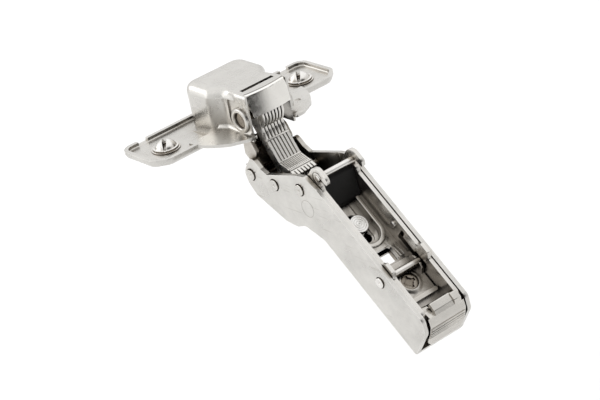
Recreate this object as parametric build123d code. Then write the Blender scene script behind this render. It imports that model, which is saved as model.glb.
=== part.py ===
from build123d import *
import os
from math import acos, atan2, cos, degrees, hypot, pi, radians, sin, sqrt, tan

os.makedirs("parts", exist_ok=True)

# ---------------------------------------------------------------- frame
# Millimetres.  The origin is the centre of the 35 mm boring, on the door face.
# +Z runs into the door (the closed bottom of the cup is at the top), +X runs
# towards the open front of the cup, Y runs along the hinge pins.
# The arm is drawn in its own frame (x rearward along the arm, z towards the
# cabinet wall, origin on the spring pin) and is set down turned about Y.
ARM_X, ARM_Z, ARM_TURN = 31.137, -11.291, 40.713
ARM = Location((ARM_X, 0, ARM_Z), (0, ARM_TURN, 0))


def arm_xz(x, z):
    """Point of the arm frame in the frame of the part."""
    t = radians(ARM_TURN)
    return (ARM_X + x * cos(t) + z * sin(t), ARM_Z - x * sin(t) + z * cos(t))


# ---------------------------------------------------------------- sizes
# cup
CUP_TOP = 10.4          # closed bottom of the cup above the door face
CUP_SKIN = 1.0          # wall of the cup
CUP_BACK = -9.2         # back wall, outside
CUP_SIDE = 9.8          # half width of the wide back part
POCKET_SIDE = 7.3       # half width beside the pins
CUP_FRONT = 14.65       # plane of the front opening
FRONT_SIDE = 7.0        # half width at the front opening
FLANGE_R = 19.1         # flange round the 35 mm boring
FLANGE_T = 0.85
WING_TIP = 30.7         # half length over the two wings
WING_BACK, WING_FRONT = -11.3, 5.9
WING_DEPTH = 2.2        # tray depth of the wings below the door face
CROWN_R = 2.3           # rounding of the closed bottom of the cup
ROOF_SIDE = 7.25        # half width of the roof over the pockets
POCKET_IN = 6.85        # floor of the pockets
FOOT_R = 1.2            # rounding between the walls and the flange
FLANGE_CUT = 16.2       # front edge of the flange
EYELET_R, EYELET_BORE, EYELET_LIP = 3.35, 2.1, 7.85
SH_AXIS = -16.0         # upright axis the front shield is curved about
SH_R = 30.0             # radius of the front edge of the top skin
SHEET = 1.2             # sheet of wings and channel
FIX_X, FIX_PITCH = -2.161, 45.0   # fixing holes in the wings
FIX_R = 1.9
# pins carried by the cup, in the frame of the part
B2 = (11.139, 3.2)      # ribbed lever
B1 = (7.499, 5.3)       # inner lever
CUP_PIN_R = 1.0
# pins carried by the arm, in the arm frame
P1 = (-14.6, -13.4)     # inner lever
P2 = (-7.1, -7.75)      # ribbed lever
P3 = (0.0, 0.0)         # spring pin
P4 = (31.8, 2.3)        # rear cross pin
ARM_PIN_R = 1.1
REAR_PIN_R = 0.95
RUN = 0.05              # running clearance of a pin in an eye
A1 = arm_xz(*P1)
A2 = arm_xz(*P2)
# arm channel
ARM_HALF = 7.79         # half width, outside
ARM_SHEET = 1.19
ARM_END = 50.1
RIVET_PROUD = 0.38      # how far the rivet heads stand out of the plates
# inner rail
RAIL_HALF = 6.4
RAIL_SHEET = 1.1
RAIL_TOP = 5.6
# levers
COMB_R = 4.4
LEVER_HALF = 3.6        # half width of the ribbed lever
RIBS = 7
RIB_STEP = 1.05
INNER_OUT, INNER_IN = 6.1, 5.1   # cheeks of the inner lever
FORK_R = 1.48           # half height of the open fork of the inner lever
FORK_RUN = 2.26         # how far the lever pin runs along the fork
# bar in the front hooks of the rail
BAR = (2.1, 7.4)
BAR_R = 0.82
# adjusters
SIDE_X = 15.2           # side adjusting screw, on the arm
CAM_X = 34.9            # depth adjusting cam
CAM_THROW = 1.1
AXLE = (44.3, 3.75)      # axle of the release lever
AXLE_R = 0.75


# ---------------------------------------------------------------- helpers
def _loop(points):
    """Closed loop in the plane; a point is (a, b) or (a, b, corner radius)."""
    n = len(points)
    legs = []
    for i in range(n):
        px, py = points[i][0], points[i][1]
        r = points[i][2] if len(points[i]) > 2 else 0
        ax, ay = points[i - 1][0] - px, points[i - 1][1] - py
        bx, by = points[(i + 1) % n][0] - px, points[(i + 1) % n][1] - py
        la, lb = hypot(ax, ay), hypot(bx, by)
        ax, ay, bx, by = ax / la, ay / la, bx / lb, by / lb
        if r <= 0:
            legs.append(((px, py), None, (px, py)))
            continue
        half = acos(max(-1, min(1, ax * bx + ay * by))) / 2
        if abs(half - pi / 2) < 1e-3:
            legs.append(((px, py), None, (px, py)))
            continue
        t = min(r / tan(half), 0.49 * la, 0.49 * lb)
        r = t * tan(half)
        cx, cy = ax + bx, ay + by
        lc = hypot(cx, cy)
        d = r / sin(half) - r
        legs.append(((px + ax * t, py + ay * t), (px + cx / lc * d, py + cy / lc * d), (px + bx * t, py + by * t)))
    return legs


def _face(points, to3):
    legs = _loop(points)
    edges = []
    for i, (a, m, b) in enumerate(legs):
        if m is not None:
            edges.append(ThreePointArc(to3(*a), to3(*m), to3(*b)))
        c = legs[(i + 1) % len(legs)][0]
        if hypot(c[0] - b[0], c[1] - b[1]) > 1e-6:
            edges.append(Line(to3(*b), to3(*c)))
    return make_face(edges)


def slab_y(points, lo, hi):
    """Profile in XZ, standing between Y = lo and Y = hi."""
    return extrude(_face(points, lambda a, b: (a, lo, b)), amount=hi - lo, dir=(0, 1, 0))


def slab_z(points, lo, hi):
    """Profile in XY, standing between Z = lo and Z = hi."""
    return extrude(_face(points, lambda a, b: (a, b, lo)), amount=hi - lo, dir=(0, 0, 1))


def slab_x(points, lo, hi):
    """Profile in YZ, standing between X = lo and X = hi."""
    return extrude(_face(points, lambda a, b: (lo, a, b)), amount=hi - lo, dir=(1, 0, 0))


def rod_y(c, r, lo, hi):
    return Pos(c[0], (lo + hi) / 2, c[1]) * (Rot(90, 0, 0) * Cylinder(r, hi - lo))


def rod_z(x, y, r, lo, hi):
    return Pos(x, y, (lo + hi) / 2) * Cylinder(r, hi - lo)


def box(x0, x1, y0, y1, z0, z1):
    return Pos((x0 + x1) / 2, (y0 + y1) / 2, (z0 + z1) / 2) * Box(x1 - x0, y1 - y0, z1 - z0)


def both(part):
    """The part and its mirror image across the middle plane."""
    return part + mirror(part, about=Plane.XZ)


def cone_y(c, r_lo, r_hi, lo, hi):
    """Cone along Y: radius r_lo at Y = lo, r_hi at Y = hi."""
    return Pos(c[0], (lo + hi) / 2, c[1]) * (Rot(-90, 0, 0) * Cone(r_lo, r_hi, hi - lo))


def write(part, name):
    solids = part.solids()
    out = solids[0] if len(solids) == 1 else Compound(children=list(solids))
    export_step(out, "parts/" + name + ".step")


# ================================================================ cup
SLOT_X = 10.95
wide = [
    (CUP_BACK, -CUP_SIDE, 3.6), (1.5, -CUP_SIDE, 2.6), (5.6, -POCKET_SIDE, 2.6),
    (CUP_FRONT, -FRONT_SIDE), (CUP_FRONT, FRONT_SIDE),
    (5.6, POCKET_SIDE, 2.6), (1.5, CUP_SIDE, 2.6), (CUP_BACK, CUP_SIDE, 3.6),
]
shell = slab_z(wide, -WING_DEPTH, CUP_TOP)
crown = [e for e in shell.edges() if abs(e.center().Z - CUP_TOP) < 0.01 and e.center().X < CUP_FRONT - 0.01]
shell = fillet(crown, CROWN_R)
# roof over the pockets beside the pins, with a tighter edge
roof = slab_z([
    (2.6, -4.6), (6.6, -6.35, 4.0), (10.4, -ROOF_SIDE, 4.0), (CUP_FRONT, -ROOF_SIDE + 0.1),
    (CUP_FRONT, ROOF_SIDE - 0.1), (10.4, ROOF_SIDE, 4.0), (6.6, 6.35, 4.0), (2.6, 4.6)], 8.3, CUP_TOP)
roof = fillet([e for e in roof.edges() if abs(e.center().Z - CUP_TOP) < 0.01 and 2.7 < e.center().X < CUP_FRONT - 0.01], 0.9)
# long low wings: one tray, open towards the door, that runs behind the cup
tray_line = [
    (WING_BACK, -WING_TIP, 3.2), (2.6, -WING_TIP, 3.4), (WING_FRONT, -26.9, 3.4),
    (WING_FRONT, 26.9, 3.4), (2.6, WING_TIP, 3.4), (WING_BACK, WING_TIP, 3.2),
]
tray = slab_z(tray_line, -WING_DEPTH, 0.0)
tray = fillet([e for e in tray.edges() if abs(e.center().Z + WING_DEPTH) < 0.01], 1.5)
t = SHEET - 0.1
tray_in = [
    (WING_BACK + t, -WING_TIP + t, 2.1), (2.3, -WING_TIP + t, 2.4), (WING_FRONT - t, -26.6, 2.4),
    (WING_FRONT - t, 26.6, 2.4), (2.3, WING_TIP - t, 2.4), (WING_BACK + t, WING_TIP - t, 2.1),
]
hollow = slab_z(tray_in, -WING_DEPTH + SHEET, 1.0)
hollow = fillet([e for e in hollow.edges() if abs(e.center().Z + WING_DEPTH - SHEET) < 0.01], 0.5)
tray -= hollow
# dips in the back rim, slits along the foot of the front rim
tray -= both(box(WING_BACK - 1, WING_BACK + 2, 22.4, 25.3, -0.8, 1.0))
tray -= both(box(3.5, 4.6, 17.6, 20.4, -3, 1.0))
tray -= both(box(3.5, 4.6, 24.2, 26.0, -3, 1.0))
# the flange round the front of the boring, cut off square before the opening
disc = rod_z(0, 0, FLANGE_R, -FLANGE_T, 0.0) & slab_z([
    (3.2, -25), (7.0, -25), (FLANGE_CUT, -8.9, 3.0), (FLANGE_CUT, -6.3, 0.9), (10, -6.3), (10, 6.3), (FLANGE_CUT, 6.3, 0.9), (FLANGE_CUT, 8.9, 3.0), (7.0, 25), (3.2, 25)], -3, 1)
disc -= Pos(9.15, 12.67, 0.45) * Sphere(0.95)
# rounded foot between the walls and the flange
foot = slab_z([(1.5, -CUP_SIDE, 2.6), (5.6, -POCKET_SIDE, 2.6), (CUP_FRONT, -FRONT_SIDE), (22, -FRONT_SIDE),
               (22, FRONT_SIDE), (CUP_FRONT, FRONT_SIDE), (5.6, POCKET_SIDE, 2.6), (1.5, CUP_SIDE, 2.6), (-6, CUP_SIDE), (-6, -CUP_SIDE)], -FLANGE_T, 5)
foot = (foot & box(3.2, 22, -30, 30, -3, 6)) + (rod_z(0, 0, FLANGE_R + 3, -FLANGE_T, 0.0) & box(3.2, 30, -30, 30, -3, 1))
seam = [e for e in foot.edges() if abs(e.center().Z) < 0.01 and abs(e.bounding_box().max.Z) < 0.01 and abs(e.bounding_box().min.Z) < 0.01
        and e.bounding_box().max.Y < 9.9 and e.bounding_box().min.Y > -9.9 and e.bounding_box().size.X > 0.3]
foot = fillet(seam, FOOT_R)
foot &= box(3.2, CUP_FRONT, -12, 12, -FLANGE_T, 4)
foot &= rod_z(0, 0, FLANGE_R - 0.5, -3, 5)
# ramp between the wing floor and the foot of the cup
ramp = both(slab_y([(-5.5, -WING_DEPTH + 0.4), (-5.0, -1.05), (2.2, -0.1), (4.0, -0.1), (4.0, -WING_DEPTH + 0.4)], 9.0, 12.3))
cup = shell + roof + tray + disc + foot + ramp
# pockets beside the pins, under the roof
cup -= both(slab_y([(6.9, 8.3, 0.5), (13.75, 8.3, 0.7), (13.75, 0.9, 1.2), (7.6, 0.9, 1.5), (6.7, 3.0, 2.0)], POCKET_IN, 12))
# eyelets round the ends of the pin of the ribbed lever: a rounded ring with a deep bore
ring = rod_y(B2, EYELET_R, 6.2, EYELET_LIP) - rod_y(B2, EYELET_BORE, POCKET_IN - 0.05, 9)
ring = fillet([e for e in ring.edges() if abs(e.center().Y - EYELET_LIP) < 0.01], 0.5)
cup += both(ring)
# the hollow, open to the front and below
inner = slab_z([
    (CUP_BACK + CUP_SKIN, -CUP_SIDE + CUP_SKIN, 2.0), (1.1, -CUP_SIDE + CUP_SKIN, 1.6), (4.9, -6.4, 1.6),
    (30, -6.4), (30, 6.4), (4.9, 6.4, 1.6), (1.1, CUP_SIDE - CUP_SKIN, 1.6), (CUP_BACK + CUP_SKIN, CUP_SIDE - CUP_SKIN, 2.0),
], -6, CUP_TOP - CUP_SKIN)
inner = fillet([e for e in inner.edges() if abs(e.center().Z - CUP_TOP + CUP_SKIN) < 0.01 and e.center().X < 29], 1.2)
cup -= inner
cup -= box(SLOT_X - 0.55, SLOT_X + 0.75, -5.2, 5.2, 8, 12)
# front edge of the top skin, round which the shield is rolled
cup -= (rod_z(SH_AXIS, 0, 45, 8.2, 12) - rod_z(SH_AXIS, 0, SH_R, 8.1, 12.1)) & box(8, 20, -6.4, 6.4, 8.2, 12)
# seats of the pins and of the fixing studs
cup -= both(rod_y(B2, EYELET_BORE, POCKET_IN - 0.05, 9))
cup -= both(rod_y(B2, CUP_PIN_R, 6.0, 9))
cup -= both(rod_y(B1, CUP_PIN_R, 6.0, 6.75))
cup -= both(rod_z(FIX_X, FIX_PITCH / 2, FIX_R, -4, 1))
write(cup, "cup_body")

# ---- pins of the cup
pin = rod_y(B2, CUP_PIN_R, -6.9, 6.9)
pin += both(rod_y(B2, EYELET_BORE - 0.05, POCKET_IN, 7.1))
pin -= both(cone_y(B2, 0.3, 1.75, 6.9, 7.12))
write(pin, "front_cup_pin")
write(rod_y(B1, CUP_PIN_R, -6.75, 6.75), "rear_cup_pin")

# ---- curved front shield, hooked into the slot of the cup
sec = _face(
    [(SH_R - 2.7, 9.34), (SH_R + 0.06, 9.34), (SH_R + 0.06, 10.34), (SH_R + 0.95, 10.34, 0.85), (SH_R + 2.3, 4.45),
     (SH_R + 1.84, 4.5), (SH_R + 0.5, 8.7, 0.5), (SH_R - 2.7, 8.7)],
    lambda a, b: (SH_AXIS + a, 0, b),
)
turn = Axis((SH_AXIS, 0, 0), (0, 0, 1))
half = revolve(sec, axis=turn, revolution_arc=15)
shield = half + mirror(half, about=Plane.XZ)
shield &= slab_x([(-6.32, 11), (6.32, 11), (6.32, 7.5), (5.9, 4.0), (-5.9, 4.0), (-6.32, 7.5)], 5, 20)
shield -= both(box(5, 13.9, 4.9, 8, 8, 9.4))
shield += box(SLOT_X + 0.1, SLOT_X + 0.7, -0.6, 5.0, 8.7, 10.1)
shield &= box(SLOT_X + 0.1, 30, -7, 7, 0, 20)
write(shield, "cup_shield")

# ---- split fixing studs in the wings
studs = []
for y in (-FIX_PITCH / 2, FIX_PITCH / 2):
    stud = rod_z(FIX_X, y, 3.8, -1.0, -0.75) + rod_z(FIX_X, y, 3.4, -1.0, -0.3)
    dome = Pos(FIX_X, y, -1.7) * Sphere(3.2)
    dome &= rod_z(FIX_X, y, 3.15, -0.9, 5)
    stud += dome
    stud -= Pos(FIX_X, y, 0) * (Rot(0, 0, -40) * slab_x([(-0.3, -0.4), (0.3, -0.4), (0.75, 2.2), (-0.75, 2.2)], -5, 5))
    stud -= rod_z(FIX_X, y, FIX_R, -1.5, -0.35)
    studs.append(stud)
write(studs[0] + studs[1], "wing_studs")

# ================================================================ levers
# ribbed lever: barrel on the cup pin with seven fins, flat back, eye on the arm
web = slab_y(
    [(13.6, 2.4), (14.3, -1.2, 1.2), (15.3, -3.31), (18.61, -8.79), (22.48, -10.06), (24.5, -10.95, 0.4),
     (24.2, -12.6, 0.6), (21.5, -15.3, 2.0), (18.0, -14.2, 1.0), (16.7, -10.5, 1.0), (12.9, -3.9, 2.0), (9.6, 1.5)],
    -LEVER_HALF, LEVER_HALF)
lever = web + rod_y(B2, 2.3, -LEVER_HALF, LEVER_HALF) + rod_y(A2, 2.95, -LEVER_HALF, LEVER_HALF)
fin_line = [(B2[0] + 1.2 * COMB_R * cos(radians(a)), B2[1] + 1.2 * COMB_R * sin(radians(a))) for a in (62, 35, 10, -15, -40, -62)]
for i in range(RIBS):
    y = (i - (RIBS - 1) / 2) * RIB_STEP
    fin = rod_y(B2, COMB_R, y - 0.31, y + 0.31) & slab_y([(B2[0], B2[1] - 1.5)] + fin_line[::-1] + [(B2[0], B2[1] + 1.5)], y - 0.31, y + 0.31)
    lever += fin
# long grooves between the ribs, from the fins to the second line, and open teeth at the arm end
for i in range(RIBS - 1):
    y = (i + 0.5 - (RIBS - 1) / 2) * RIB_STEP
    lever -= slab_y([(14.9, 0.6), (15.2, -1.2), (15.9, -3.0), (19.2, -8.3), (18.02, -8.72), (14.78, -3.6, 1.0), (13.7, -1.3, 1.0), (13.4, 0.6)], y - 0.2, y + 0.2)
    lever -= slab_y([(22.75, -9.5), (25.5, -10.6), (25.5, -13.5), (23.6, -11.9)], y - 0.2, y + 0.2)
# fine grooves on the panel between the second and the third line
for i in range(12):
    y = (i - 5.5) * 0.56
    lever -= slab_y([(18.9, -8.4), (22.2, -9.5), (22.2, -10.16), (18.9, -9.08)], y - 0.09, y + 0.09)
# raised lines across the lever
for x, z in ((15.22, -3.31), (18.55, -8.8), (22.45, -10.1)):
    lever += rod_y((x, z), 0.3, -LEVER_HALF, LEVER_HALF)
lever -= rod_y(B2, CUP_PIN_R + RUN, -5, 5)
lever -= rod_y(A2, ARM_PIN_R + RUN, -5, 5)
write(lever, "ribbed_lever")

# inner lever: two cheeks and a cross web; the eye on its cup pin is oversize
cheek = slab_y(
    [(7.3, 3.4, 0.5), (6.1, 3.2, 1.0), (6.1, 0.6, 1.4), (6.9, -0.75, 1.0), (8.5, -1.15, 1.0), (11.6, -3.0, 1.2), (13.2, -6.0, 0.6),
     (12.6, -7.6, 0.4), (14.1, -10.6, 1.0), (13.4, -14.0, 1.5), (11.3, -15.4, 0.6), (6.9, -10.0, 0.6), (8.1, -8.4, 1.5), (8.35, -4.4, 2.0),
     (7.4, -2.9, 1.5), (4.9, -1.0, 2.2), (4.2, 2.0, 2.5), (5.4, 4.8, 1.0), (6.2, 6.9, 0.5)],
    INNER_IN, INNER_OUT)
cheek += rod_y(B1, 2.1, INNER_IN, INNER_OUT)
inner_lever = both(cheek) + slab_y(
    [(7.75, -3.9), (8.1, -3.9), (9.0, -5.6, 1.0), (9.75, -6.85, 1.0), (13.2, -9.97), (12.85, -10.37), (9.3, -7.3, 1.0), (8.3, -6.2, 1.0)],
    -INNER_OUT + 0.2, INNER_OUT - 0.2)
# fork on the lever pin of the arm: open to the front, where the pin can leave it
fork = [(P1[0] + FORK_R, P1[1] - 0.09 - FORK_R, FORK_R - 0.01), (P1[0] + FORK_R, P1[1] - 0.09 + FORK_R, FORK_R - 0.01),
        (P1[0] - 9.0, P1[1] - 0.09 + FORK_R), (P1[0] - 9.0, P1[1] - 0.09 - FORK_R)]
inner_lever -= ARM * slab_y(fork, -8, 8)
inner_lever -= rod_y(B1, CUP_PIN_R + RUN, -8, 8)
write(inner_lever, "inner_lever")


# ================================================================ arm channel
side = [
    (-10.5, -7.7, 0.6), (-6.7, -2.5), (-2.9, 2.7, 6.0), (-0.6, 5.1, 1.5), (4.0, 5.9, 6.0),
    (46.4, 5.9, 2.2), (49.2, 3.3, 2.2), (ARM_END, -5.5, 0.6), (12.8, -5.5, 4.0), (6.2, -8.4, 2.5),
    (4.4, -11.4, 2.5), (0.8, -13.9, 3.0), (-10.5, -17.3, 2.0), (-14.2, -16.7, 1.5), (-16.4, -15.3, 1.2), (-17.1, -13.6, 1.5), (-17.1, -8.3, 1.6), (-13.0, -8.4, 1.0),
]
plate = slab_y(side, ARM_HALF - ARM_SHEET, ARM_HALF)
channel = both(plate)
floor_line = [
    (ARM_END - 0.05, -5.5), (12.8, -5.5, 4.0), (6.2, -8.4, 2.5), (4.4, -11.4, 2.5), (0.8, -13.9, 3.0), (-9.8, -17.08),
    (-9.45, -15.9), (0.4, -12.8, 2.0), (3.5, -10.8, 1.5), (5.3, -7.6, 1.5), (12.4, -4.3, 3.0), (ARM_END - 0.1, -4.3),
]
channel += slab_y(floor_line, -ARM_HALF + 0.3, ARM_HALF - 0.3)
channel += slab_y([(-9.0, -16.85), (-14.5, -16.45, 0.6), (-15.5, -15.7, 0.3), (-14.9, -15.15, 0.3), (-13.6, -15.6, 0.5), (-9.0, -15.6)], -4.7, 4.7)
channel -= box(24.1, 29.6, -4.6, 4.6, -7, -3)
channel -= slab_z([(SIDE_X - 2.4, -2.4, 2.3), (SIDE_X + 2.4, -2.4, 2.3), (SIDE_X + 2.4, 2.4, 2.3), (SIDE_X - 2.4, 2.4, 2.3)], -7, -3)
channel -= slab_z([(CAM_X - 3.2, -3.0, 2.8), (CAM_X + 3.2, -3.0, 2.8), (CAM_X + 3.2, 3.0, 2.8), (CAM_X - 3.2, 3.0, 2.8)], -7, -3)
for c in (P1, P2, P3):
    channel -= rod_y(c, ARM_PIN_R, -9, 9)
    channel -= both(cone_y(c, 1.6, 1.72, ARM_HALF - 0.55, ARM_HALF + 0.01))
# faint pressed ring on each plate
channel -= both(rod_y((4.53, -2.47), 2.36, ARM_HALF - 0.05, 9) - rod_y((4.53, -2.47), 2.24, ARM_HALF - 0.1, 9.1))
channel -= rod_y(P4, REAR_PIN_R, -9, 9)
channel -= both(cone_y(P4, 1.45, 1.57, ARM_HALF - 0.55, ARM_HALF + 0.01))
channel = ARM * channel
write(channel, "arm_channel")


def rivet(c, r, head):
    """Pin through both plates, with a flat head standing a little proud of each plate."""
    p = rod_y(c, r, -ARM_HALF + 0.1, ARM_HALF - 0.1)
    cap = rod_y(c, head, ARM_HALF - 0.55, ARM_HALF + RIVET_PROUD)
    cap = fillet([e for e in cap.edges() if e.center().Y > ARM_HALF + RIVET_PROUD - 0.01], 0.14)
    cap -= cone_y(c, 0.1, 0.45, ARM_HALF + RIVET_PROUD - 0.2, ARM_HALF + RIVET_PROUD + 0.02)
    return p + both(cap)


write(ARM * rivet(P1, ARM_PIN_R, 1.5), "front_lever_pin")
write(ARM * rivet(P2, ARM_PIN_R, 1.5), "rear_lever_pin")
write(ARM * rivet(P3, ARM_PIN_R, 1.5), "spring_pin")
write(ARM * rivet(P4, REAR_PIN_R, 1.35), "rear_cross_pin")

# ---- closing spring: a coil each side of the ribbed lever, legs on the spring pin
WIRE, COIL_R, COIL_P = 0.26, 1.78, 0.58


def coil(y0, turns, centre, radius, wire, pitch):
    path = Helix(pitch=pitch, height=pitch * turns, radius=radius)
    start = path @ 0
    section = Plane(origin=start, z_dir=path % 0) * Circle(wire)
    c = sweep(section, path=path, is_frenet=True)
    return Pos(centre[0], y0, centre[1]) * (Rot(-90, 0, 0) * c)


cs = coil(3.75 + WIRE, 1.25, P2, COIL_R, WIRE, COIL_P)
write(ARM * both(cs), "closing_spring")

# ================================================================ inner rail
wall = slab_y(
    [(-0.6, 3.0, 0.5), (-0.6, 8.6, 2.4), (1.0, 10.1, 2.0), (4.7, 10.1, 1.6), (5.7, 8.5, 0.5), (4.6, 8.38),
     (2.1, 8.38), (2.1, 6.42), (4.2, 6.42, 0.8), (5.2, RAIL_TOP, 1.0), (29.0, RAIL_TOP, 0.8), (29.8, 7.05, 0.5), (32.7, 7.0, 0.5),
     (33.7, RAIL_TOP, 0.8), (45.2, RAIL_TOP, 1.6), (46.9, 2.6, 1.0), (46.9, -1.2, 0.5), (8.2, -1.2), (4.6, 3.0, 1.5)],
    RAIL_HALF - RAIL_SHEET, RAIL_HALF)
rail = both(wall)
rail += box(8.8, 42.0, -RAIL_HALF + 0.2, RAIL_HALF - 0.2, -1.2, 0.0)
# pressed-down pad round the slot of the side screw, with a raised lip
pad = [(8.8, -4.3), (22.4, -4.3, 4.2), (22.4, 4.3, 4.2), (8.8, 4.3)]
pad_in = [(8.0, -3.5), (21.5, -3.5, 3.4), (21.5, 3.5, 3.4), (8.0, 3.5)]
lip_out = [(8.8, -4.75), (22.9, -4.75, 4.65), (22.9, 4.75, 4.65), (8.8, 4.75)]
lip = slab_z(lip_out, -0.6, 0.45)
lip = fillet([e for e in lip.edges() if e.center().Z > 0.44 and e.center().X > 8.9], 0.4)
rail += slab_z(pad, -2.6, -1.1) + lip
pit = slab_z(pad_in, -1.5, 2)
rail -= pit
rim = [e for e in rail.edges() if abs(e.center().Z - 0.45) < 0.01 and abs(e.bounding_box().size.Z) < 0.01 and 8.9 < e.center().X < 21.6 and abs(e.center().Y) < 3.6]
rail = fillet(rim, 0.38)
# sunk strip and slot for the side screw
rail -= slab_z([(8.0, -1.95), (20.9, -1.95, 1.9), (20.9, 1.95, 1.9), (8.0, 1.95)], -1.9, 1)
rail -= slab_z([(SIDE_X - 3.6, -1.5, 1.4), (20.3, -1.5, 1.4), (20.3, 1.5, 1.4), (SIDE_X - 3.6, 1.5, 1.4)], -4, 2)
rail -= box(8.0, 13.0, -1.75, -1.3, -4, 2)
# window, slot of the cam pin, slots of the rear cross pin in both walls
rail -= slab_z([(23.9, -2.75, 0.7), (28.3, -2.75, 0.7), (28.3, 2.75, 0.7), (23.9, 2.75, 0.7)], -3, 2)
rail -= slab_z([(CAM_X - 1.27, -1.6, 1.2), (CAM_X + 1.27, -1.6, 1.2), (CAM_X + 1.27, 2.6, 1.2), (CAM_X - 1.27, 2.6, 1.2)], -2, 2)
rail -= slab_y([(29.4, 1.0, 1.0), (34.4, 1.0, 1.0), (34.4, 3.6, 1.0), (29.4, 3.6, 1.0)], -9, 9)
rail -= slab_y([(23.9, 1.6), (30.0, 1.5), (30.0, 3.0), (23.9, 3.2)], -9, 9)
rail -= slab_y([(23.5, 1.5, 0.4), (24.8, 1.5, 0.4), (24.8, 4.6, 0.4), (23.5, 4.6, 0.4)], -9, 9)
rail -= rod_y(AXLE, AXLE_R, -9, 9)
rail -= rod_y(BAR, BAR_R, -9, 9)
# ring round the ends of the bar, pressed in the walls
rail -= both(rod_y(BAR, 1.75, RAIL_HALF - 0.2, 9) - rod_y(BAR, 1.5, RAIL_HALF - 0.3, 9.1))
# nubs pressed into the walls, ridges along the floor
nub = rod_y((20.9, 3.6), 0.95, 4.55, RAIL_HALF - 0.2)
nub = fillet([e for e in nub.edges() if abs(e.center().Y - 4.55) < 0.01], 0.4)
rail += nub
for y in (3.35, 4.45):
    ridge = box(24.2, 27.85, y - 0.27, y + 0.27, -0.2, 0.3)
    rail += ridge
rail = ARM * rail
write(rail, "inner_rail")

bar = rod_y(BAR, BAR_R, -RAIL_HALF + 0.05, RAIL_HALF - 0.05)
write(ARM * bar, "front_cross_bar")

# ---- dark buffer block in the front of the rail, sloping down from under the bar
block = slab_y([(2.5, -3.2, 0.5), (7.9, -3.2, 0.5), (8.7, -2.7), (8.7, 0.8, 0.5), (3.4, 5.7, 0.6), (1.9, 5.7, 0.5), (1.9, 2.9, 0.4), (2.5, 2.5)], -5.2, 5.2)
write(ARM * block, "buffer_block")

# ---- side adjusting screw, held in the slot of the rail, threaded in the channel
screw = rod_z(SIDE_X, 0, 2.5, -1.35, -0.3)
screw = fillet([e for e in screw.edges() if e.center().Z > -0.31], 0.15)
for r in (0.75, 1.35, 1.95):
    screw -= rod_z(SIDE_X, 0, r + 0.11, -0.42, 0) - rod_z(SIDE_X, 0, r - 0.11, -0.5, 0.1)
screw -= rod_z(SIDE_X, 0, 0.2, -0.5, 0)
screw += rod_z(SIDE_X, 0, 1.3, -3.0, -1.2)
screw += rod_z(SIDE_X, 0, 2.35, -3.4, -2.75) + rod_z(SIDE_X, 0, 1.95, -6.6, -3.2)
screw -= box(SIDE_X - 1.5, SIDE_X + 1.5, -0.3, 0.3, -7, -5.9) + box(SIDE_X - 0.3, SIDE_X + 0.3, -1.5, 1.5, -7, -5.9)
write(ARM * screw, "side_screw")

# ---- carriage of the cam: plate on the floor of the rail, open saddles under the cross pin
carriage = slab_z([(29.0, -5.0, 0.5), (40.4, -5.0, 1.5), (40.4, 5.0, 1.5), (29.0, 5.0, 0.5)], 0.1, 0.8)
carriage += slab_z([(39.3, -5.0, 0.6), (40.4, -5.0, 0.9), (40.4, 5.0, 0.9), (39.3, 5.0, 0.6)], 0.5, 1.5)
ear = slab_y([(29.2, 0.1), (29.6, 2.4, 0.6), (30.6, 2.95, 0.2), (33.0, 2.95, 0.2), (34.0, 2.2, 0.8), (35.2, 0.1)], 4.25, 5.0)
carriage += both(ear)
boss = Pos(CAM_X, 0, 0.8 - 8.2) * Sphere(9.0)
carriage += boss & rod_z(CAM_X, 0, 3.72, 0.3, 3)
carriage -= rod_z(CAM_X, 0, 2.42, -2, 4)
carriage -= rod_y(P4, REAR_PIN_R + RUN, -7, 7)
write(ARM * carriage, "cam_carriage")

cam = rod_z(CAM_X, 0, 2.3, 0.15, 0.85)
cam += rod_z(CAM_X, CAM_THROW, 1.1, -1.6, 0.3)
cam -= rod_z(CAM_X, 0, 1.15, 0.38, 2)
cam -= box(CAM_X - 1.75, CAM_X + 1.75, -0.42, 0.42, 0.38, 2) + box(CAM_X - 0.42, CAM_X + 0.42, -1.75, 1.75, 0.38, 2)
write(ARM * cam, "depth_cam")

# ---- release lever at the tail, on its axle, with a return spring
latch = slab_y([(46.9, 5.75), (48.5, 4.5, 1.0), (49.35, 2.6, 2.0), (49.85, 0.4, 2.0), (50.75, -1.9, 0.3),
                (49.9, -2.15, 0.3), (48.95, 0.2, 2.0), (48.45, 2.3, 2.0), (47.75, 3.85, 1.0), (46.5, 4.85)], -5.9, 5.9)
# bridge over the axle, lower on the near side, with a square block on the far side
latch += slab_y([(43.7, 6.6, 0.4), (45.9, 6.35, 0.6), (47.1, 5.6), (46.6, 4.8), (45.4, 5.5), (43.6, 5.75, 0.3)], -3.3, 3.0)
latch += slab_y([(44.0, 6.9, 0.3), (46.2, 6.75, 0.4), (47.2, 5.55), (46.4, 4.6), (44.2, 5.0)], 3.0, 5.15)
latch += slab_y([(44.0, 5.0, 0.5), (45.9, 5.35, 0.5), (47.2, 5.5), (46.5, 4.8), (45.4, 4.2), (44.2, 4.2)], -5.15, -3.3)
latch += rod_y(AXLE, 1.45, 3.0, 5.15) + rod_y(AXLE, 1.45, -5.15, -3.3)
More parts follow.
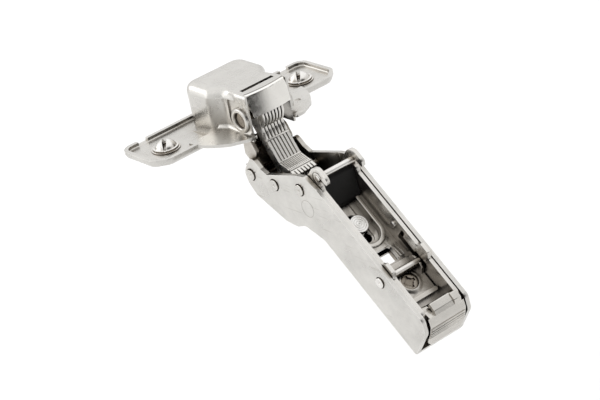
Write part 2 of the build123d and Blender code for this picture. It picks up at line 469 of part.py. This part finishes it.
# grip ridges across the lower half of the face
for x, z in ((49.02, 3.45), (49.3, 2.75), (49.52, 2.05), (49.66, 1.35), (49.8, 0.65)):
    latch += rod_y((x, z), 0.28, -5.6, 5.6)
latch -= both(slab_x([(3.9, -2.7), (8, -2.7), (8, 1.4)], 40, 55))
latch -= rod_y(AXLE, AXLE_R + RUN, -9, 9)
write(ARM * latch, "release_lever")
write(ARM * rod_y(AXLE, AXLE_R, -RAIL_HALF + 0.02, RAIL_HALF - 0.02), "release_axle")
rs = coil(-1.9, 6.0, AXLE, 0.95, 0.15, 0.6)
write(ARM * rs, "release_spring")
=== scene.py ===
import math

import bmesh
import bpy
from mathutils import Matrix, Vector


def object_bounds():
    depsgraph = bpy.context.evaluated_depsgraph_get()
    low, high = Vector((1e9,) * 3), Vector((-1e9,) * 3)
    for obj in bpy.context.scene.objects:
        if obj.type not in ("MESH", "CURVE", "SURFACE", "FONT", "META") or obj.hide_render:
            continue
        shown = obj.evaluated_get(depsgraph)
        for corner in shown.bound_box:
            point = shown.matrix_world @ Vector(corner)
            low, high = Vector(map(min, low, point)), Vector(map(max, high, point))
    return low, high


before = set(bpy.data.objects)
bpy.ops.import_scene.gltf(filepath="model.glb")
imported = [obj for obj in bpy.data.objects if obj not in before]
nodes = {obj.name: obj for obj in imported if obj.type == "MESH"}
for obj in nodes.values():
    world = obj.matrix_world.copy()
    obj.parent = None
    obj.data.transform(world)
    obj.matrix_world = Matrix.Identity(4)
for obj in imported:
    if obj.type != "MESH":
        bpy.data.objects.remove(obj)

cad_low, cad_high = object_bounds()
scene = bpy.context.scene


# ------------------------------------------------------------------ materials
def graph(name):
    m = bpy.data.materials.new(name)
    m.use_nodes = True
    nt = m.node_tree
    nt.nodes.clear()
    out = nt.nodes.new("ShaderNodeOutputMaterial")
    sh = nt.nodes.new("ShaderNodeBsdfPrincipled")
    nt.links.new(sh.outputs[0], out.inputs[0])
    return m, nt, sh


def node(nt, kind, ins=(), **props):
    n = nt.nodes.new(kind)
    for k, v in props.items():
        setattr(n, k, v)
    for k, v in dict(ins).items():
        if hasattr(v, "is_output") or isinstance(v, bpy.types.NodeSocket):
            nt.links.new(v, n.inputs[k])
        else:
            n.inputs[k].default_value = v
    return n


def ramp(nt, fac, stops):
    n = nt.nodes.new("ShaderNodeValToRGB")
    nt.links.new(fac, n.inputs[0])
    el = n.color_ramp.elements
    while len(el) < len(stops):
        el.new(0.5)
    for e, (p, c) in zip(el, stops):
        e.position = p
        e.color = (*c, 1.0) if len(c) == 3 else c
    return n.outputs[0]


def spread(nt, fac, lo, hi, out_lo, out_hi):
    n = node(nt, "ShaderNodeMapRange", {0: fac, 1: lo, 2: hi, 3: out_lo, 4: out_hi})
    return n.outputs[0]


def metal(name, tint, rough, grain=(1.0, 1.0, 1.0), streak=0.05, wear_and_highlight=0.35, grime_and_corner_shade=0.35, bump=0.04, blotch=0.10, recess_shade=1.0, reach=0.012, fleck=0.10, gap=0.0014, scratch=0.07):
    """Plated sheet steel: cloudy plating, fine drawn lines and flecks, brighter edges (wear plus a painted highlight),
    speckled grime with painted shade in tight corners, and painted brown shade in recesses.
    """
    m, nt, sh = graph(name)
    tc = node(nt, "ShaderNodeTexCoord")
    sh.inputs["Metallic"].default_value = 1.0
    # cloudy plating, millimetres wide
    cloud = node(nt, "ShaderNodeTexNoise", {"Vector": tc.outputs["Object"], "Scale": 190.0, "Detail": 5.0, "Roughness": 0.6}, noise_dimensions="3D")
    fine = node(nt, "ShaderNodeTexNoise", {"Vector": tc.outputs["Object"], "Scale": 2600.0, "Detail": 3.0, "Roughness": 0.65}, noise_dimensions="3D")
    # drawn lines: noise pulled out along one direction
    pull = node(nt, "ShaderNodeMapping", {"Vector": tc.outputs["Object"], "Scale": grain})
    line = node(nt, "ShaderNodeTexNoise", {"Vector": pull.outputs[0], "Scale": 900.0, "Detail": 4.0, "Roughness": 0.7}, noise_dimensions="3D")
    # edges: where a rounded normal parts from the true one; used for wear and for a painted highlight
    bev = node(nt, "ShaderNodeBevel", {"Radius": 0.00035}, samples=4)
    geo = node(nt, "ShaderNodeNewGeometry")
    dot = node(nt, "ShaderNodeVectorMath", {0: bev.outputs[0], 1: geo.outputs["Normal"]}, operation="DOT_PRODUCT")
    edge = spread(nt, dot.outputs["Value"], 0.995, 0.90, 0.0, 1.0)
    # corners: where little open space is near; speckled grime and painted corner shade go there
    ao = node(nt, "ShaderNodeAmbientOcclusion", {"Distance": gap}, samples=6)
    corner = spread(nt, ao.outputs["AO"], 0.75, 0.15, 0.0, 1.0)
    # recesses: wide occlusion, where painted brown shade darkens the colour
    wide = node(nt, "ShaderNodeAmbientOcclusion", {"Distance": reach}, samples=8)
    shade = node(nt, "ShaderNodeMath", {0: wide.outputs["AO"], 1: spread(nt, cloud.outputs["Fac"], 0.3, 0.7, -0.025, 0.025)}, operation="ADD", use_clamp=True)
    painted_recess_colour = ramp(nt, shade.outputs[0], [(0.08, (0.020, 0.014, 0.010)), (0.28, (0.12, 0.096, 0.075)), (0.50, (0.36, 0.320, 0.275)), (0.74, (0.80, 0.775, 0.74)), (0.90, (1.0, 1.0, 1.0))])
    lo = tuple(c * (1.0 - blotch) for c in tint)
    hi = tuple(min(1.0, c * (1.0 + 0.35 * blotch)) for c in tint)
    col = ramp(nt, cloud.outputs["Fac"], [(0.32, lo), (0.68, hi)])
    spot = spread(nt, fine.outputs["Fac"], 0.58, 0.72, 0.0, fleck)
    pale = tuple(c * 0.55 for c in tint)
    mix0 = node(nt, "ShaderNodeMix", {0: spot, 6: col, 7: (*pale, 1.0)}, data_type="RGBA")
    # a few fine scratches in two directions
    cuts = []
    for turn, seed in (((0.3, 0.5, 0.7), 3.0), ((0.9, -0.4, -0.6), 11.0)):
        sm = node(nt, "ShaderNodeMapping", {"Vector": tc.outputs["Object"], "Location": (seed, seed, seed), "Rotation": turn, "Scale": (170.0, 2100.0, 2100.0)})
        sn = node(nt, "ShaderNodeTexNoise", {"Vector": sm.outputs[0], "Scale": 1.0, "Detail": 1.0, "Roughness": 0.4})
        cuts.append(spread(nt, sn.outputs["Fac"], 0.70, 0.78, 0.0, 1.0))
    cut = node(nt, "ShaderNodeMath", {0: cuts[0], 1: cuts[1]}, operation="MAXIMUM")
    cutm = node(nt, "ShaderNodeMath", {0: cut.outputs[0], 1: scratch * 2.5}, operation="MULTIPLY", use_clamp=True)
    dark = tuple(c * s for c, s in zip(tint, (0.40, 0.36, 0.31)))
    mixs = node(nt, "ShaderNodeMix", {0: cutm.outputs[0], 6: mix0.outputs[2], 7: (*dark, 1.0)}, data_type="RGBA")
    # tight corners darkened: grime speckle together with painted shade
    gm = node(nt, "ShaderNodeMath", {0: corner, 1: fine.outputs["Fac"]}, operation="MULTIPLY")
    gm2 = node(nt, "ShaderNodeMath", {0: gm.outputs[0], 1: grime_and_corner_shade * 1.9}, operation="MULTIPLY", use_clamp=True)
    mix1 = node(nt, "ShaderNodeMix", {0: gm2.outputs[0], 6: mixs.outputs[2], 7: (*dark, 1.0)}, data_type="RGBA")
    # edges lightened: partly wear, partly a painted highlight along the rims
    em = node(nt, "ShaderNodeMath", {0: edge, 1: cloud.outputs["Fac"]}, operation="MULTIPLY")
    em2 = node(nt, "ShaderNodeMath", {0: em.outputs[0], 1: wear_and_highlight * 1.7}, operation="MULTIPLY", use_clamp=True)
    worn_edge_highlight = tuple(min(0.97, c * 1.16 + 0.03) for c in tint)
    mix2 = node(nt, "ShaderNodeMix", {0: em2.outputs[0], 6: mix1.outputs[2], 7: (*worn_edge_highlight, 1.0)}, data_type="RGBA")
    # painted recess shade multiplied into the colour
    mix3 = node(nt, "ShaderNodeMix", {0: recess_shade, 6: mix2.outputs[2], 7: painted_recess_colour}, data_type="RGBA", blend_type="MULTIPLY")
    nt.links.new(mix3.outputs[2], sh.inputs["Base Color"])
    # roughness from clouds, lines and wear
    r1 = spread(nt, cloud.outputs["Fac"], 0.3, 0.7, rough - 0.05, rough + 0.06)
    r2 = spread(nt, line.outputs["Fac"], 0.3, 0.7, -streak, streak)
    r3 = node(nt, "ShaderNodeMath", {0: r1, 1: r2}, operation="ADD")
    r4 = node(nt, "ShaderNodeMath", {0: em2.outputs[0], 1: -0.10}, operation="MULTIPLY")
    r5 = node(nt, "ShaderNodeMath", {0: r3.outputs[0], 1: r4.outputs[0]}, operation="ADD", use_clamp=True)
    nt.links.new(r5.outputs[0], sh.inputs["Roughness"])
    # bump: drawn lines over orange peel
    hsum = node(nt, "ShaderNodeMath", {0: node(nt, "ShaderNodeMath", {0: line.outputs["Fac"], 1: fine.outputs["Fac"]}, operation="ADD").outputs[0], 1: cut.outputs[0]}, operation="SUBTRACT")
    bp = node(nt, "ShaderNodeBump", {"Strength": bump, "Distance": 0.0001, "Height": hsum.outputs[0]})
    nt.links.new(bp.outputs[0], sh.inputs["Normal"])
    return m


def plastic(name, tint, rough):
    """Moulded plastic with a fine etched grain."""
    m, nt, sh = graph(name)
    tc = node(nt, "ShaderNodeTexCoord")
    cloud = node(nt, "ShaderNodeTexNoise", {"Vector": tc.outputs["Object"], "Scale": 260.0, "Detail": 5.0, "Roughness": 0.6})
    grain = node(nt, "ShaderNodeTexVoronoi", {"Vector": tc.outputs["Object"], "Scale": 5200.0})
    lo = tuple(c * 0.8 for c in tint)
    hi = tuple(c * 1.5 + 0.004 for c in tint)
    nt.links.new(ramp(nt, cloud.outputs["Fac"], [(0.3, lo), (0.72, hi)]), sh.inputs["Base Color"])
    nt.links.new(spread(nt, cloud.outputs["Fac"], 0.3, 0.7, rough - 0.07, rough + 0.08), sh.inputs["Roughness"])
    sh.inputs["Specular IOR Level"].default_value = 0.22
    bp = node(nt, "ShaderNodeBump", {"Strength": 0.12, "Distance": 0.00005, "Height": grain.outputs["Distance"]})
    nt.links.new(bp.outputs[0], sh.inputs["Normal"])
    return m


NICKEL = (0.625, 0.611, 0.582)
M = {
    "cup": metal("nickel_cup", (0.595, 0.581, 0.553), 0.28, recess_shade=0.50, reach=0.008, streak=0.03, fleck=0.05, wear_and_highlight=0.6, bump=0.025),
    "arm": metal("nickel_arm", NICKEL, 0.32, grain=(0.25, 1.0, 0.25), bump=0.06, fleck=0.24, scratch=0.10, blotch=0.13, wear_and_highlight=0.9),
    "rail": metal("nickel_rail", (0.65, 0.632, 0.60), 0.28, grain=(0.25, 1.0, 0.25), recess_shade=0.60, reach=0.011, wear_and_highlight=0.6, streak=0.03, fleck=0.05, bump=0.025),
    "latch": metal("nickel_latch", (0.585, 0.565, 0.53), 0.24, grain=(1.0, 0.25, 1.0), grime_and_corner_shade=0.2, recess_shade=0.40, wear_and_highlight=0.9),
    "lever": metal("nickel_lever", (0.74, 0.722, 0.688), 0.30, grime_and_corner_shade=0.10, recess_shade=0.28),
    "link": metal("nickel_link", (0.70, 0.685, 0.655), 0.32),
    "shield": metal("bright_nickel", (0.86, 0.84, 0.80), 0.14, bump=0.010, grime_and_corner_shade=0.10, blotch=0.05, recess_shade=0.45, streak=0.03),
    "pin": metal("bright_steel", (0.76, 0.745, 0.72), 0.22, grime_and_corner_shade=0.4),
    "rivet": metal("rivet_steel", (0.60, 0.585, 0.555), 0.26, grime_and_corner_shade=0.6, wear_and_highlight=0.7),
    # pin ends sit deep in the cup's eyelets; their darker tint is painted shade
    "pin_end": metal("pin_end_shade", (0.40, 0.37, 0.33), 0.30, grime_and_corner_shade=0.7),
    "stud": metal("stud_nickel", (0.78, 0.765, 0.74), 0.20, bump=0.02),
    # the cam gets a darker tint than the other steel parts
    "cam": metal("dark_steel", (0.42, 0.395, 0.36), 0.20, grime_and_corner_shade=0.8),
    "screw": metal("turned_steel", (0.80, 0.79, 0.77), 0.26, grime_and_corner_shade=0.05, recess_shade=0.15),
    "spring": metal("spring_wire", (0.34, 0.325, 0.30), 0.28, grime_and_corner_shade=0.6),
    "block": plastic("black_plastic", (0.0065, 0.006, 0.0055), 0.55),
}
DRESS = {
    "cup_body": "cup", "cup_shield": "shield", "wing_studs": "stud", "front_cup_pin": "pin_end", "rear_cup_pin": "pin_end",
    "ribbed_lever": "lever", "inner_lever": "link", "arm_channel": "arm", "front_lever_pin": "rivet",
    "rear_lever_pin": "rivet", "spring_pin": "rivet", "rear_cross_pin": "pin", "closing_spring": "spring",
    "inner_rail": "rail", "front_cross_bar": "pin", "buffer_block": "block", "release_axle": "pin",
    "release_spring": "spring", "release_lever": "latch", "side_screw": "screw", "cam_carriage": "rail", "depth_cam": "cam",
}
ROUND = {
    "cup_body": 0.25, "cup_shield": 0.12, "wing_studs": 0.08, "front_cup_pin": 0.08, "rear_cup_pin": 0.1,
    "ribbed_lever": 0.05, "inner_lever": 0.15, "arm_channel": 0.22, "front_lever_pin": 0.08, "rear_lever_pin": 0.08,
    "spring_pin": 0.08, "rear_cross_pin": 0.08, "closing_spring": 0.0, "inner_rail": 0.18, "front_cross_bar": 0.12,
    "buffer_block": 0.25, "release_axle": 0.08, "release_spring": 0.0, "release_lever": 0.15, "side_screw": 0.05,
    "cam_carriage": 0.12, "depth_cam": 0.06,
}


def dress(name):
    o = nodes[name]
    o.data.materials.clear()
    o.data.materials.append(M[DRESS[name]])
    weld = o.modifiers.new("weld", "WELD")
    weld.merge_threshold = 2e-6
    if ROUND[name]:
        b = o.modifiers.new("round", "BEVEL")
        b.width = ROUND[name] / 1000
        b.segments = 2
        b.limit_method = "ANGLE"
        b.angle_limit = math.radians(38)
        b.use_clamp_overlap = True
        b.miter_outer = "MITER_ARC"
    w = o.modifiers.new("normals", "WEIGHTED_NORMAL")
    w.weight = 60
    w.keep_sharp = False


for name in nodes:
    dress(name)

# ------------------------------------------------------------------ floor
floor_z = cad_low[2] - 0.060
mesh = bpy.data.meshes.new("floor")
bm = bmesh.new()
bmesh.ops.create_grid(bm, x_segments=8, y_segments=8, size=6.0)
bm.to_mesh(mesh)
bm.free()
floor = bpy.data.objects.new("floor", mesh)
floor.location = (0, 0, floor_z)
scene.collection.objects.link(floor)
m, nt, sh = graph("pale_floor")
tc = node(nt, "ShaderNodeTexCoord")
cl = node(nt, "ShaderNodeTexNoise", {"Vector": tc.outputs["Object"], "Scale": 3.0, "Detail": 2.0})
nt.links.new(ramp(nt, cl.outputs["Fac"], [(0.3, (0.93, 0.93, 0.928)), (0.7, (0.95, 0.95, 0.948))]), sh.inputs["Base Color"])
sh.inputs["Roughness"].default_value = 0.9
sh.inputs["Specular IOR Level"].default_value = 0.1
floor.data.materials.append(m)

# ------------------------------------------------------------------ light
world = bpy.data.worlds.new("studio")
scene.world = world
world.use_nodes = True
wn = world.node_tree
wn.nodes.clear()
wo = wn.nodes.new("ShaderNodeOutputWorld")
bg = wn.nodes.new("ShaderNodeBackground")
tc = wn.nodes.new("ShaderNodeTexCoord")
sep = wn.nodes.new("ShaderNodeSeparateXYZ")
wn.links.new(tc.outputs["Generated"], sep.inputs[0])
rp = wn.nodes.new("ShaderNodeValToRGB")
mp = wn.nodes.new("ShaderNodeMapRange")
mp.inputs[1].default_value = -1.0
mp.inputs[2].default_value = 1.0
wn.links.new(sep.outputs["Z"], mp.inputs[0])
wn.links.new(mp.outputs[0], rp.inputs[0])
els = rp.color_ramp.elements
els[0].position = 0.45
els[0].color = (0.90, 0.895, 0.885, 1)
els[1].position = 0.75
els[1].color = (1.0, 1.0, 1.0, 1)


def patch(colour, towards, inner, outer, shade):
    """A soft-edged area of the studio in one direction, in another brightness."""
    d = Vector(towards).normalized()
    nd = wn.nodes.new("ShaderNodeVectorMath")
    nd.operation = "NORMALIZE"
    wn.links.new(tc.outputs["Generated"], nd.inputs[0])
    dot = wn.nodes.new("ShaderNodeVectorMath")
    dot.operation = "DOT_PRODUCT"
    wn.links.new(nd.outputs[0], dot.inputs[0])
    dot.inputs[1].default_value = d
    mr = wn.nodes.new("ShaderNodeMapRange")
    mr.interpolation_type = "SMOOTHSTEP"
    mr.inputs[1].default_value = math.cos(math.radians(outer))
    mr.inputs[2].default_value = math.cos(math.radians(inner))
    wn.links.new(dot.outputs["Value"], mr.inputs[0])
    mx = wn.nodes.new("ShaderNodeMix")
    mx.data_type = "RGBA"
    wn.links.new(mr.outputs[0], mx.inputs[0])
    wn.links.new(colour, mx.inputs[6])
    mx.inputs[7].default_value = (*shade, 1.0)
    return mx.outputs[2]


sky = patch(rp.outputs[0], (0.955, -0.060, 0.270), 22, 43, (0.015, 0.0135, 0.012))
wn.links.new(sky, bg.inputs[0])
bg.inputs[1].default_value = 1.0
wn.links.new(bg.outputs[0], wo.inputs[0])


def lamp(name, at, to, size, power, tint=(1, 1, 1)):
    d = bpy.data.lights.new(name, "AREA")
    d.shape = "RECTANGLE"
    d.size, d.size_y = size
    d.energy = power
    d.color = tint
    o = bpy.data.objects.new(name, d)
    o.location = at
    o.rotation_euler = (Vector(to) - Vector(at)).to_track_quat("-Z", "Y").to_euler()
    scene.collection.objects.link(o)
    return o


mid = (0.025, 0.0, -0.018)
lamp("top", (-0.25, 0.15, 0.95), mid, (2.4, 2.4), 4.4)
lamp("left", (-0.5, -0.8, 0.30), mid, (0.8, 0.8), 1.6)
lamp("edge", (-0.64, -0.39, 0.45), mid, (0.42, 0.42), 0.9)

# ------------------------------------------------------------------ camera
right = Vector((0.628, 0.755, -0.189)).normalized()
down = Vector((0.231, -0.413, -0.881)).normalized()
cam = bpy.data.cameras.new("camera")
cam.lens = 132.0
cam.sensor_width = 36.0
cam.clip_start = 0.01
cam.clip_end = 50.0
co = bpy.data.objects.new("camera", cam)
back = right.cross(-down).normalized()
up = back.cross(right).normalized()
co.matrix_world = Matrix(((right.x, up.x, back.x, 0.4385), (right.y, up.y, back.y, -0.2876), (right.z, up.z, back.z, 0.2239), (0, 0, 0, 1)))
scene.collection.objects.link(co)
scene.camera = co
scene.view_settings.view_transform = "Standard"
scene.view_settings.look = "None"
